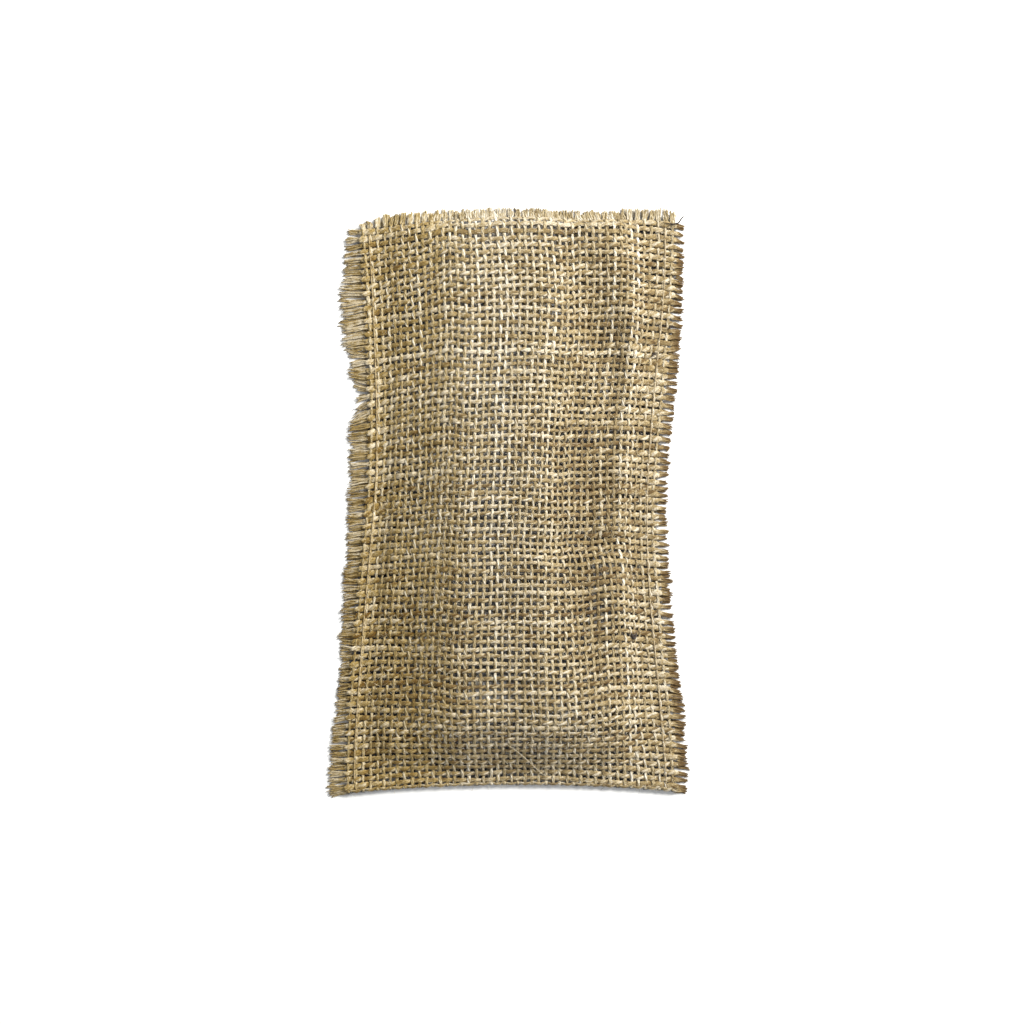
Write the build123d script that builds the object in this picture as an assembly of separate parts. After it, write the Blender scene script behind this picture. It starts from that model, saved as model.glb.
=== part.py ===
from build123d import *
import math
import os

# A small empty pouch of loose jute cloth: one woven strip, folded across its middle and sewn
# up both sides, open at the top, with frayed yarn ends along the sides and the mouth.
#
# The pouch lies on its back panel. +Z is up, +Y points to the mouth and +X to the right of
# the front panel. The origin is the middle of the outer box, at the level of the surface
# below. All sizes are in millimetres.

# Cloth and yarns
cloth_thickness = 1.3
pressed_thickness = 0.95      # cloth squeezed by the side seams
layer_gap = 0.06              # clearance between the two layers where they are sewn
warp_pitch = 2.35             # yarns that run along Y, spaced across X
weft_pitch = 2.5              # yarns that run along X, spaced along Y
yarn_width = 1.25
yarn_thickness = 0.65

# Sewing thread
thread_width = 0.5
thread_thickness = 0.32
stitch_length = 2.7
stitch_pitch = 3.6
first_stitch = 1.5            # from the bottom line of the cloth to the first stitch
last_stitch = 2.0             # from the last stitch to the corner of the mouth

# Fold at the bottom: a shallow arch, highest in the middle
bottom_line_y = -98.4         # where the panels end and the fold begins, at its middle
bottom_arch_radius = 620.0
arch_centre_x = 5.0

# Mouth: the last weft follows a shallow arch
mouth_middle_y = 98.5
mouth_corner_y = 94.6
mouth_corner_x = 53.0

# Side edges of the cloth: drawn in at the waist, flared above and below it
left_waist_x = -48.3
left_waist_y = 26.0
left_flare_below = 8.0
left_flare_above = 3.6
right_waist_x = 51.0
right_waist_y = -3.0
right_flare_below = 8.2
right_flare_above = 6.4
flare_run_below = 122.0
flare_run_above = 92.0

# Seams
left_seam_inset = 2.6         # from the left edge of the cloth to the stitches
right_seam_inset = 2.9
seam_margin = 4.4             # cloth edge to the inner side of the pressed strip

# Loose yarn ends past the edges of the cloth
left_fringe = 6.0
right_fringe = 4.1
mouth_fringe = 3.7
fringe_spread = 0.7           # how much the ends differ in length
fringe_gap = 0.02             # clearance between a loose end and the woven cloth
fringe_lean = 0.4             # how far a tip strays to the side
back_fringe_shift = 1 / 3     # of a pitch, so the back ends show between the front ones

# Puff of the front panel
crown_middle = 14.0
crown_mouth = 7.6
bottom_rise_run = 27.0        # from the fold to the full height of the puff
waist_run = 105.0             # from the middle of the puff to the mouth

# Working sizes
back_top = cloth_thickness
front_bottom = back_top + layer_gap
front_margin_top = front_bottom + pressed_thickness
fold_radius = (front_bottom + cloth_thickness) / 2
slab_height = 40.0
strip_overhang = 10.0         # seam strips are cut wider than the cloth
side_curve_reach = 120.0      # the side curves run past both ends of the cloth
side_curve_step = 12.0
grid_step = 2.5               # of the grid the puff is fitted through
grid_half_width = 75.0
grid_half_length = 115.0


def smooth_step(t):
    t = min(max(t, 0.0), 1.0)
    return t * t * (3.0 - 2.0 * t)


def left_edge(y):
    """Left edge of the cloth at height y."""
    if y < left_waist_y:
        return left_waist_x - left_flare_below * smooth_step((left_waist_y - y) / flare_run_below)
    return left_waist_x - left_flare_above * smooth_step((y - left_waist_y) / flare_run_above)


def right_edge(y):
    """Right edge of the cloth at height y."""
    if y < right_waist_y:
        return right_waist_x + right_flare_below * smooth_step((right_waist_y - y) / flare_run_below)
    return right_waist_x + right_flare_above * smooth_step((y - right_waist_y) / flare_run_above)


def bottom_line(x):
    """Height of the arch where the panels meet the fold."""
    drop = bottom_arch_radius - math.sqrt(bottom_arch_radius**2 - (x - arch_centre_x) ** 2)
    return bottom_line_y - drop


def mouth_arch():
    """The last weft, as an arc from the left corner to the right one."""
    return ThreePointArc((-mouth_corner_x, mouth_corner_y), (0, mouth_middle_y),
                         (mouth_corner_x + arch_centre_x, mouth_corner_y))


mouth_arc = mouth_arch()
mouth_centre = mouth_arc.arc_center
mouth_radius = mouth_arc.radius


def mouth_line(x):
    """Height of the last weft at x."""
    return mouth_centre.Y + math.sqrt(mouth_radius**2 - (x - mouth_centre.X) ** 2)


def crown(y):
    """Height of the puff along the middle of the front panel."""
    rise = smooth_step((y - bottom_line_y) / bottom_rise_run)
    fall = smooth_step(y / waist_run)
    return rise * (crown_middle + (crown_mouth - crown_middle) * fall)


def front_underside(x, y):
    """Height of the inner face of the front panel."""
    left = left_edge(y) + seam_margin
    right = right_edge(y) - seam_margin
    across = min(max((x - left) / (right - left), 0.0), 1.0)
    return front_bottom + crown(y) * smooth_step(4 * across * (1 - across))


def steps(start, end, pitch):
    """Evenly spaced values from start to end, about one pitch apart."""
    count = max(1, round((end - start) / pitch))
    return [start + (end - start) * i / count for i in range(count + 1)]


def side_curve(edge, inset=0.0):
    """A side of the cloth as one smooth curve, carried past both ends."""
    heights = steps(-side_curve_reach, side_curve_reach, side_curve_step)
    return Spline([(edge(y) + inset, y) for y in heights])


def slab(left_curve, right_curve, low_z, high_z):
    """A flat slab between two side curves."""
    top = Line(left_curve @ 1, right_curve @ 1)
    bottom = Line(right_curve @ 0, left_curve @ 0)
    face = make_face(Curve() + [left_curve, top, right_curve, bottom])
    return Pos(0, 0, low_z) * extrude(face, amount=high_z - low_z, dir=(0, 0, 1))


def below_mouth(low_z, high_z):
    """Everything on the pouch's side of the mouth arch."""
    disc = Pos(mouth_centre.X, mouth_centre.Y) * Circle(mouth_radius)
    return Pos(0, 0, low_z) * extrude(disc, amount=high_z - low_z, dir=(0, 0, 1))


def below_fold_line(low_z, high_z):
    """Everything below the arch where the fold begins."""
    disc = Pos(arch_centre_x, bottom_line_y - bottom_arch_radius) * Circle(bottom_arch_radius)
    return Pos(0, 0, low_z) * extrude(disc, amount=high_z - low_z, dir=(0, 0, 1))


def cloth_outline(low_z, high_z):
    """The whole outline of one layer of cloth, as a prism."""
    whole = slab(side_curve(left_edge), side_curve(right_edge), low_z, high_z)
    whole = whole & below_mouth(low_z, high_z)
    return whole - below_fold_line(low_z - 1, high_z + 1)


def seam_strips(low_z, high_z):
    """The strips along both sides that the stitching presses flat."""
    left_outside = side_curve(left_edge, -strip_overhang)
    right_outside = side_curve(right_edge, strip_overhang)
    left = slab(left_outside, side_curve(left_edge, seam_margin), low_z, high_z)
    right = slab(side_curve(right_edge, -seam_margin), right_outside, low_z, high_z)
    return left, right


def make_back_panel():
    """Flat layer that the pouch lies on, thinner under the seams to clear the thread."""
    panel = cloth_outline(0.0, back_top)
    for strip in seam_strips(-1.0, cloth_thickness - pressed_thickness):
        panel = panel - strip
    return panel


def make_front_panel():
    """Upper layer: flat along the seams and puffed between them."""
    across = steps(-grid_half_width, grid_half_width, grid_step)
    along = steps(-grid_half_length, grid_half_length, grid_step)
    points = [[Vector(x, y, front_underside(x, y)) for x in across] for y in along]
    underside = Face.make_surface_from_array_of_points(points, tol=0.01)
    sheet = Solid.extrude(underside, Vector(0, 0, cloth_thickness))
    panel = cloth_outline(0.0, slab_height) & sheet
    for strip in seam_strips(front_margin_top, front_margin_top + cloth_thickness):
        panel = panel - strip
    return panel


def make_bottom_fold():
    """The turn of the cloth from the back panel to the front one: a half round along the arch."""
    left_x = left_edge(bottom_line_y)
    right_x = right_edge(bottom_line_y)
    left_angle = math.degrees(math.asin((arch_centre_x - left_x) / bottom_arch_radius))
    right_angle = math.degrees(math.asin((right_x - arch_centre_x) / bottom_arch_radius))
    half_disc = Circle(fold_radius) & Pos(-fold_radius, 0) * Rectangle(2 * fold_radius, 4 * fold_radius)
    profile = Plane.YZ * Pos(bottom_arch_radius, fold_radius) * half_disc
    bar = revolve(Rot(0, 0, -right_angle) * profile, Axis.Z, left_angle + right_angle)
    return Pos(arch_centre_x, bottom_line_y - bottom_arch_radius) * bar


def yarn_end(root_low, root_high, tip, low_z):
    """One loose yarn end: a flat bar from the cloth's edge to a rounded tip."""
    root_low = Vector(*root_low)
    root_high = Vector(*root_high)
    middle = (root_low + root_high) / 2
    outward = (Vector(*tip) - middle).normalized()
    half = (root_high - root_low) / 2
    shoulder = Vector(*tip) - outward * yarn_width / 2
    shape = Polyline(shoulder - half, root_low, root_high, shoulder + half)
    cap = ThreePointArc(shape @ 1, Vector(*tip), shape @ 0)
    face = make_face(Curve() + [shape, cap])
    return Pos(0, 0, low_z) * extrude(face, amount=yarn_thickness, dir=(0, 0, 1))


def fringe_length(index, mean):
    """Length of a loose end, uneven from one to the next."""
    return mean + fringe_spread * (0.6 * math.sin(2.4 * index) + 0.4 * math.sin(0.71 * index + 1.0))


def side_fringe(edge, direction, mean_length, centre_z, shift):
    """Weft ends along one side of one layer. direction is -1 on the left and +1 on the right."""
    ends = []
    first = bottom_line(edge(bottom_line_y)) + weft_pitch
    last = mouth_line(edge(mouth_corner_y)) - weft_pitch
    for index, y in enumerate(steps(first, last, weft_pitch)):
        root_y = y + shift
        reach = direction * fringe_length(index, mean_length)
        gap = direction * fringe_gap
        low = (edge(root_y - yarn_width / 2) + gap, root_y - yarn_width / 2)
        high = (edge(root_y + yarn_width / 2) + gap, root_y + yarn_width / 2)
        tip = (edge(root_y) + reach, root_y + fringe_lean * math.sin(1.7 * index))
        ends.append(yarn_end(low, high, tip, centre_z - yarn_thickness / 2))
    return ends


def mouth_fringe_ends(height, shift):
    """Warp ends along the mouth of one layer. height gives the middle of the cloth at x."""
    ends = []
    first = left_edge(mouth_corner_y) + warp_pitch
    last = right_edge(mouth_corner_y) - warp_pitch
    for index, x in enumerate(steps(first, last, warp_pitch)):
        root_x = x + shift
        low = (root_x - yarn_width / 2, mouth_line(root_x - yarn_width / 2) + fringe_gap)
        high = (root_x + yarn_width / 2, mouth_line(root_x + yarn_width / 2) + fringe_gap)
        reach = fringe_length(index, mouth_fringe)
        tip = (root_x + fringe_lean * math.sin(1.3 * index), mouth_line(root_x) + reach)
        ends.append(yarn_end(low, high, tip, height(root_x) - yarn_thickness / 2))
    return ends


def seam_thread(edge, inset, low_z):
    """The stitches of one thread that show on one face of the cloth."""
    stitches = []
    for y in steps(bottom_line_y + first_stitch, mouth_corner_y - last_stitch, stitch_pitch):
        centre = Vector(edge(y) + inset, y, low_z)
        lean = math.degrees(math.atan2(edge(y + 1) - edge(y - 1), 2.0))
        stitch = extrude(SlotOverall(stitch_length, thread_width), amount=thread_thickness)
        stitches.append(Pos(*centre) * Rot(0, 0, 90 - lean) * stitch)
    return stitches


def main():
    back_middle = back_top - pressed_thickness / 2
    front_middle = front_bottom + pressed_thickness / 2
    back_thread = cloth_thickness - pressed_thickness - thread_thickness
    side_shift = weft_pitch * back_fringe_shift
    mouth_shift = warp_pitch * back_fringe_shift
    nodes = {
        "front_panel": make_front_panel(),
        "back_panel": make_back_panel(),
        "bottom_fold": make_bottom_fold(),
        "left_fringe_front": side_fringe(left_edge, -1, left_fringe, front_middle, 0.0),
        "left_fringe_back": side_fringe(left_edge, -1, left_fringe, back_middle, side_shift),
        "right_fringe_front": side_fringe(right_edge, 1, right_fringe, front_middle, 0.0),
        "right_fringe_back": side_fringe(right_edge, 1, right_fringe, back_middle, side_shift),
        "mouth_fringe_front": mouth_fringe_ends(
            lambda x: front_underside(x, mouth_line(x)) + pressed_thickness / 2, 0.0),
        "mouth_fringe_back": mouth_fringe_ends(lambda x: back_middle, mouth_shift),
        "left_needle_thread": seam_thread(left_edge, left_seam_inset, front_margin_top),
        "left_bobbin_thread": seam_thread(left_edge, left_seam_inset, back_thread),
        "right_needle_thread": seam_thread(right_edge, -right_seam_inset, front_margin_top),
        "right_bobbin_thread": seam_thread(right_edge, -right_seam_inset, back_thread),
    }
    os.makedirs("parts", exist_ok=True)
    whole = []
    for name, shape in nodes.items():
        solid = Compound(shape) if isinstance(shape, list) else shape
        export_step(solid, f"parts/{name}.step")
        whole.append(solid)
    box = Compound(whole).bounding_box()
    print("outer box", box.min, box.max)


main()
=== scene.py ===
import math
import bpy
import numpy as np
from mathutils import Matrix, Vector
from mathutils.bvhtree import BVHTree


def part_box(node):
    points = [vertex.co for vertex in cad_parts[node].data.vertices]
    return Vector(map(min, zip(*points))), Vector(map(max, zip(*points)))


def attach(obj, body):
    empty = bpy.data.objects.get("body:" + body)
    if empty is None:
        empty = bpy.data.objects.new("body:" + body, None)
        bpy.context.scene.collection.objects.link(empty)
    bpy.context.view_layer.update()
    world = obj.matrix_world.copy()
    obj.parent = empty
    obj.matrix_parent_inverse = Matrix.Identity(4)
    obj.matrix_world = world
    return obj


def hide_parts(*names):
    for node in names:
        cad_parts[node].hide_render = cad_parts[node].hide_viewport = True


# A small empty jute pouch, woven yarn by yarn around the CAD frame.
# Everything is in metres, in the CAD's own axes: +Z up, +Y to the mouth.

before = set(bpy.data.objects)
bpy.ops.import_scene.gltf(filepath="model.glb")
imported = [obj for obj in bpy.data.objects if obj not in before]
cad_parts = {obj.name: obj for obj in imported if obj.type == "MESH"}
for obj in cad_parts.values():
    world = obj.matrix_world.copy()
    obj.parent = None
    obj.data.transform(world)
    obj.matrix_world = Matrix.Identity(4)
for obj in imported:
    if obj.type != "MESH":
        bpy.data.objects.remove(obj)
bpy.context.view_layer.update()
mm = 0.001
rng = np.random.default_rng(7)

# Weave
WARP_COUNT = 47               # yarns along Y, side by side across the pouch
FRONT_WEFTS = 82              # yarns along X on the front panel
FOLD_WEFTS = 2                # and round the fold
BACK_WEFTS = 80               # and on the back panel
ALL_WEFTS = FRONT_WEFTS + FOLD_WEFTS + BACK_WEFTS
WARP_WIDTH = 1.12 * mm
WEFT_WIDTH = 1.5 * mm
YARN_THICKNESS = 0.64 * mm
CRIMP = 0.28 * mm             # how far a yarn swings above and below the middle of the cloth
RING_SIDES = 5
STRANDS = 3                   # loosely twisted together in every yarn
STRAND_TONES = (-0.08, 0.01, 0.08)
SAMPLES_PER_CROSSING = 4

# Loose ends: place along the edge (y) and how far the ends reach out there, in mm
LEFT_FRINGE_AT = ((-98, 7.2), (-80, 6.0), (-66, 4.8), (-30, 6.4), (5, 7.2), (20, 7.6), (30, 7.0),
                  (37, 5.2), (44, 7.2), (58, 9.2), (76, 8.6), (92, 6.2))
RIGHT_FRINGE_AT = ((-98, 4.9), (-80, 5.8), (-60, 5.2), (-30, 4.9), (0, 4.7), (40, 5.0), (60, 5.1),
                   (80, 4.2), (98, 4.0))
MOUTH_FRINGE = 4.0 * mm
RIGHT_SELVEDGE = 1.5 * mm     # the last warp on the right has slid outwards
MOUTH_CORNER_LIFT = 2.6 * mm  # the right corner of the mouth stands a little higher

# Rest heights of the two layers, from the CAD solids
back_low, back_high = (Vector(v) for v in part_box("back_panel"))
LAYER = back_high.z - back_low.z
BACK_MIDDLE = back_low.z + LAYER / 2
FRONT_REST = LAYER * 1.55     # middle of the front cloth where it lies on the back


# ---------------------------------------------------------------- smooth random fields

class Field:
    """A smooth random field over two coordinates, from -1 to 1."""

    def __init__(self, size=64):
        self.values = rng.uniform(-1, 1, (size, size))
        self.size = size

    def __call__(self, x, y):
        x, y = np.broadcast_arrays(np.asarray(x, float), np.asarray(y, float))
        x0 = np.floor(x).astype(int)
        y0 = np.floor(y).astype(int)
        u = x - x0
        v = y - y0
        u = u * u * (3 - 2 * u)
        v = v * v * (3 - 2 * v)
        n = self.size
        a = self.values[x0 % n, y0 % n]
        b = self.values[(x0 + 1) % n, y0 % n]
        c = self.values[x0 % n, (y0 + 1) % n]
        d = self.values[(x0 + 1) % n, (y0 + 1) % n]
        return (a * (1 - u) + b * u) * (1 - v) + (c * (1 - u) + d * u) * v


# ---------------------------------------------------------------- shape read from the frame

def tree_of(node):
    """The node's surface, ready for rays."""
    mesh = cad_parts[node].data
    mesh.calc_loop_triangles()
    corners = [v.co.copy() for v in mesh.vertices]
    faces = [tuple(t.vertices) for t in mesh.loop_triangles]
    return BVHTree.FromPolygons(corners, faces)


back_tree = tree_of("back_panel")
front_tree = tree_of("front_panel")
FAR = 0.3                     # well outside the pouch, where rays start
EDGE_ROWS = 120
EDGE_MARGIN = 6 * mm          # clear of the corners
END_COLUMNS = 80
END_MARGIN = 1 * mm


def edge_table():
    """Left and right edges of the cloth at a row of places along Y."""
    rows = np.linspace(back_low.y + EDGE_MARGIN, back_high.y - EDGE_MARGIN, EDGE_ROWS)
    left = []
    right = []
    for y in rows:
        left.append(back_tree.ray_cast(Vector((-FAR, y, BACK_MIDDLE)), Vector((1, 0, 0)))[0].x)
        right.append(back_tree.ray_cast(Vector((FAR, y, BACK_MIDDLE)), Vector((-1, 0, 0)))[0].x)
    return rows, np.array(left), np.array(right) + RIGHT_SELVEDGE


edge_y, edge_left, edge_right = edge_table()


def end_table():
    """The mouth and the bottom line of the cloth, each as a parabola over X."""
    across = np.linspace(edge_left.max() + END_MARGIN, edge_right.min() - END_MARGIN, END_COLUMNS)
    mouth = []
    bottom = []
    for x in across:
        mouth.append(back_tree.ray_cast(Vector((x, FAR, BACK_MIDDLE)), Vector((0, -1, 0)))[0].y)
        bottom.append(back_tree.ray_cast(Vector((x, -FAR, BACK_MIDDLE)), Vector((0, 1, 0)))[0].y)
    return np.poly1d(np.polyfit(across, mouth, 2)), np.poly1d(np.polyfit(across, bottom, 2))


mouth_line, bottom_line = end_table()


GRID_HALF_WIDTH = 64 * mm
GRID_HALF_LENGTH = 104 * mm
GRID_COLUMNS = 86
GRID_ROWS = 140
GRID_SMOOTHING = 3


def height_table():
    """The middle of the front panel's cloth over a grid."""
    xs = np.linspace(-GRID_HALF_WIDTH, GRID_HALF_WIDTH, GRID_COLUMNS)
    ys = np.linspace(-GRID_HALF_LENGTH, GRID_HALF_LENGTH, GRID_ROWS)
    table = np.full((len(xs), len(ys)), FRONT_REST)
    for i, x in enumerate(xs):
        for j, y in enumerate(ys):
            hit = front_tree.ray_cast(Vector((x, y, FAR)), Vector((0, 0, -1)))[0]
            if hit is not None:
                table[i, j] = max(hit.z - LAYER / 2, FRONT_REST)
    for _ in range(GRID_SMOOTHING):
        table[1:-1, 1:-1] = (table[1:-1, 1:-1] * 2 + table[:-2, 1:-1] + table[2:, 1:-1]
                             + table[1:-1, :-2] + table[1:-1, 2:]) / 6
    return xs, ys, table


grid_x, grid_y, grid_z = height_table()

# Soft ridges (+) and hollows (-) of the front panel: middle x, y, reach across, reach along,
# turn in degrees and height, in millimetres.
FOLDS = (
    (-41, 0, 3.6, 90, 0, 1.0),
    (-27, -10, 5.0, 90, 0, -0.9),
    (-34, -62, 7.0, 20, 0, -2.3),
    (-13, 20, 5.0, 60, 0, 0.7),
    (10, 45, 9, 50, -4, 1.0),
    (29, 66, 6.0, 26, 16, -3.0),
    (25.5, 12, 7.2, 27, -4, -5.2),
    (26, -34, 5.5, 16, 4, -2.8),
    (45, 64, 5.5, 30, 12, 3.3),
    (43.5, 10, 5.2, 32, -5, 4.4),
    (41, -45, 6.0, 20, 0, 3.0),
    (37, -15, 12, 3.0, 3, -2.2),
    (12, -25, 18, 6, 0, 1.2),
    (8, -84, 30, 6, 0, 1.1),
    (-33, -86, 9, 6, 0, 1.3),
    (33, -70, 10, 12, 0, 0.9),
)
FOLDS_FROM = 2.4 * mm         # height of the puff above which the folds have their full size
RIPPLE_HEIGHT = 0.45 * mm
RIPPLE_WIDTH = 17 * mm
RIPPLE_LENGTH = 26 * mm
ripple = Field()

# Painted shade (-) and painted light (+): places where the jute is made darker or paler to stand in for
# shading; middle x, y, reach across and along in mm, tone
PAINTED_SHADE_SPOTS = (
    (29, 0, 9, 36, -0.100),
    (-25, -60, 18, 22, -0.080),
    (-40, -70, 9, 18, -0.050),
    (45, 15, 8, 60, -0.045),
    (20, 28, 3.5, 34, -0.035),
    (58, -14, 4.5, 18, 0.120),
    (-6, 76, 17, 24, 0.060),
    (-55, 66, 6, 16, 0.070),
    (34, -62, 14, 16, -0.030),
    (6, -8, 10, 30, 0.020),
)


def mound(x, y, cx, cy, across, along, turn=0):
    """A smooth mound of height 1 at (cx, cy), sized and placed in millimetres."""
    c = math.cos(math.radians(turn))
    s = math.sin(math.radians(turn))
    dx = x - cx * mm
    dy = y - cy * mm
    p = (c * dx + s * dy) / (across * mm)
    q = (-s * dx + c * dy) / (along * mm)
    return np.exp(-(p * p + q * q) / 2)


def painted_shade_at(path):
    """Painted shade and painted light over the cloth, in broad spots, as a change of tone."""
    tone = np.zeros(len(path))
    for cx, cy, across, along, change in PAINTED_SHADE_SPOTS:
        tone += change * mound(path[:, 0], path[:, 1], cx, cy, across, along)
    return tone


def front_height(x, y):
    """Middle of the front cloth at (x, y): the CAD puff with the cloth's own folds on it."""
    fx = np.clip((x - grid_x[0]) / (grid_x[1] - grid_x[0]), 0, len(grid_x) - 1.001)
    fy = np.clip((y - grid_y[0]) / (grid_y[1] - grid_y[0]), 0, len(grid_y) - 1.001)
    i = fx.astype(int)
    j = fy.astype(int)
    u = fx - i
    v = fy - j
    z = ((grid_z[i, j] * (1 - u) + grid_z[i + 1, j] * u) * (1 - v)
         + (grid_z[i, j + 1] * (1 - u) + grid_z[i + 1, j + 1] * u) * v)
    lift = np.clip((z - FRONT_REST) / FOLDS_FROM, 0, 1)
    for cx, cy, across, along, turn, height in FOLDS:
        z = z + lift * height * mm * mound(x, y, cx, cy, across, along, turn)
    return z + lift * RIPPLE_HEIGHT * ripple(x / RIPPLE_WIDTH + 9, y / RIPPLE_LENGTH + 9)


# ---------------------------------------------------------------- lanes of the cloth

def length_along(points):
    """Distance of every point from the first, along the polyline."""
    return np.concatenate([[0], np.cumsum(np.linalg.norm(np.diff(points, axis=0), axis=1))])


LANES = 141                   # lines along the cloth, side by side
FRONT_STEPS = 321             # points on each, on the front
FOLD_STEPS = 13               # round the fold
BACK_STEPS = 161              # and on the back
CROSS_ROWS = 110              # rows where the lanes' places are worked out
LOWEST_ROW = -103 * mm
HIGHEST_ROW = 100 * mm
CROSS_SAMPLES = 240
LANE_SAMPLES = 420
NEAR_MOUTH = 95 * mm          # where a lane's x decides its mouth end
NEAR_FOLD = -99 * mm          # and its fold end
CORNER_FROM = 25 * mm         # the lift of the mouth's right corner starts here
CORNER_RUN = 30 * mm
FOLD_DEPTH = 0.7              # of the fold's bulge, against a half circle


def even(points, count):
    """Points spaced evenly along a polyline."""
    length = length_along(points)
    at = np.linspace(0, length[-1], count)
    return np.stack([np.interp(at, length, points[:, k]) for k in range(3)], axis=1)


def cross_table(height):
    """x of every lane at each row, with the lanes evenly spaced over the cloth itself."""
    rows = np.linspace(LOWEST_ROW, HIGHEST_ROW, CROSS_ROWS)
    table = np.zeros((len(rows), LANES))
    for k, y in enumerate(rows):
        left = np.interp(y, edge_y, edge_left)
        right = np.interp(y, edge_y, edge_right)
        x = np.linspace(left, right, CROSS_SAMPLES)
        line = np.stack([x, np.full_like(x, y), height(x, np.full_like(x, y))], axis=1)
        table[k] = even(line, LANES)[:, 0]
    return rows, table


def make_lanes(height, count):
    """Lines along the cloth from the mouth to the fold, count points on each."""
    rows, table = cross_table(height)
    lanes = np.zeros((LANES, count, 3))
    for lane in range(LANES):
        mouth_x = np.interp(NEAR_MOUTH, rows, table[:, lane])
        corner = np.clip((mouth_x - CORNER_FROM) / CORNER_RUN, 0, 1)
        top = mouth_line(mouth_x) + MOUTH_CORNER_LIFT * corner * corner * (3 - 2 * corner)
        low = bottom_line(np.interp(NEAR_FOLD, rows, table[:, lane]))
        y = np.linspace(top, low, LANE_SAMPLES)
        x = np.interp(y, rows, table[:, lane])
        lanes[lane] = even(np.stack([x, y, height(x, y)], axis=1), count)
    return lanes


def make_cloth():
    """The middle surface of the whole strip, front, fold and back, and its weft count."""
    front = make_lanes(front_height, FRONT_STEPS)
    back = make_lanes(lambda x, y: np.full_like(x, BACK_MIDDLE), BACK_STEPS)[:, ::-1]
    start = front[:, -1]
    end = back[:, 0]
    angle = np.linspace(0, math.pi, FOLD_STEPS)[1:-1]
    radius = (start[:, 2] - end[:, 2])[:, None] / 2
    fold = np.zeros((LANES, len(angle), 3))
    fold[:, :, 0] = start[:, None, 0] + (end - start)[:, None, 0] * angle / math.pi
    fold[:, :, 1] = (start[:, None, 1] + end[:, None, 1]) / 2 - radius * np.sin(angle) * FOLD_DEPTH
    fold[:, :, 2] = (start[:, None, 2] + end[:, None, 2]) / 2 + radius * np.cos(angle)
    cloth = np.concatenate([front, fold, back], axis=1)
    picks = np.concatenate([
        np.linspace(0, FRONT_WEFTS, FRONT_STEPS),
        FRONT_WEFTS + FOLD_WEFTS * angle / math.pi,
        np.linspace(0, BACK_WEFTS, BACK_STEPS) + FRONT_WEFTS + FOLD_WEFTS,
    ])
    return cloth, picks


cloth, picks = make_cloth()
along_step = np.gradient(cloth, axis=1)
across_step = np.gradient(cloth, axis=0)
normals = np.cross(along_step, across_step)
normals /= np.linalg.norm(normals, axis=2, keepdims=True)
if normals[LANES // 2, FRONT_STEPS // 6, 2] < 0:   # they point out of the pouch, so up on the front
    normals = -normals


def on_cloth(across, pick):
    """Point and outward normal of the cloth: across from 0 to 1, pick in wefts from the mouth."""
    row = np.interp(pick, picks, np.arange(len(picks)))
    fa = np.clip(across * (LANES - 1), 0, LANES - 1.001)
    fr = np.clip(row, 0, len(picks) - 1.001)
    i = fa.astype(int)
    j = fr.astype(int)
    u = (fa - i)[:, None]
    v = (fr - j)[:, None]
    out = []
    for table in (cloth, normals):
        out.append((table[i, j] * (1 - u) + table[i + 1, j] * u) * (1 - v)
                   + (table[i, j + 1] * (1 - u) + table[i + 1, j + 1] * u) * v)
    return out[0], out[1] / np.linalg.norm(out[1], axis=1, keepdims=True)


# ---------------------------------------------------------------- yarn meshes

loose_turn = Field(128)
YARN_TWIST = 1250.0           # of the strands round the yarn, in radians per metre
STRAND_TWIST = 2200.0         # of the fibres round a strand
FIBRE_PACE = 260              # how fast the fibre pattern runs along a yarn
OVAL = 0.10                   # how far a strand's section is from round, in two lobes
THREE_LOBES = 0.05            # and in three
ROUGH = 0.05                  # chance share of the radius at every point of the mesh
STRAND_OFFSET = 0.50          # of a strand from the yarn's middle, over the yarn's half width
STRAND_RISE = 0.40            # and over its half thickness
STRAND_WIDTH = 0.56           # half width of a strand over the yarn's
STRAND_THICKNESS = 0.68       # and half thickness
STRAND_SWELL = 0.22           # how far a strand thickens and thins along its length
SWELL_RUN = 2.4 * mm
OFFSET_CHANGE = 0.10          # how far its offset changes
OFFSET_RUN = 3 * mm
TWIST_WANDER = 1.3            # radians that the twist runs ahead or behind
TWIST_RUN = 6 * mm
FLOOR_CLEARANCE = 0.66        # least height of a strand's middle, over the yarn's half thickness
TONE_SPREAD = 0.05            # between strands, by chance
TINY = 1e-9


def unit(vectors):
    """The rows of vectors, each at length 1."""
    return vectors / np.maximum(np.linalg.norm(vectors, axis=1, keepdims=True), TINY)


def cross_axes(path, up):
    """The two directions across a path: sideways, and the one nearest to up."""
    tangent = unit(np.gradient(path, axis=0))
    side = unit(np.cross(tangent, up))
    return side, np.cross(side, tangent)


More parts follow.
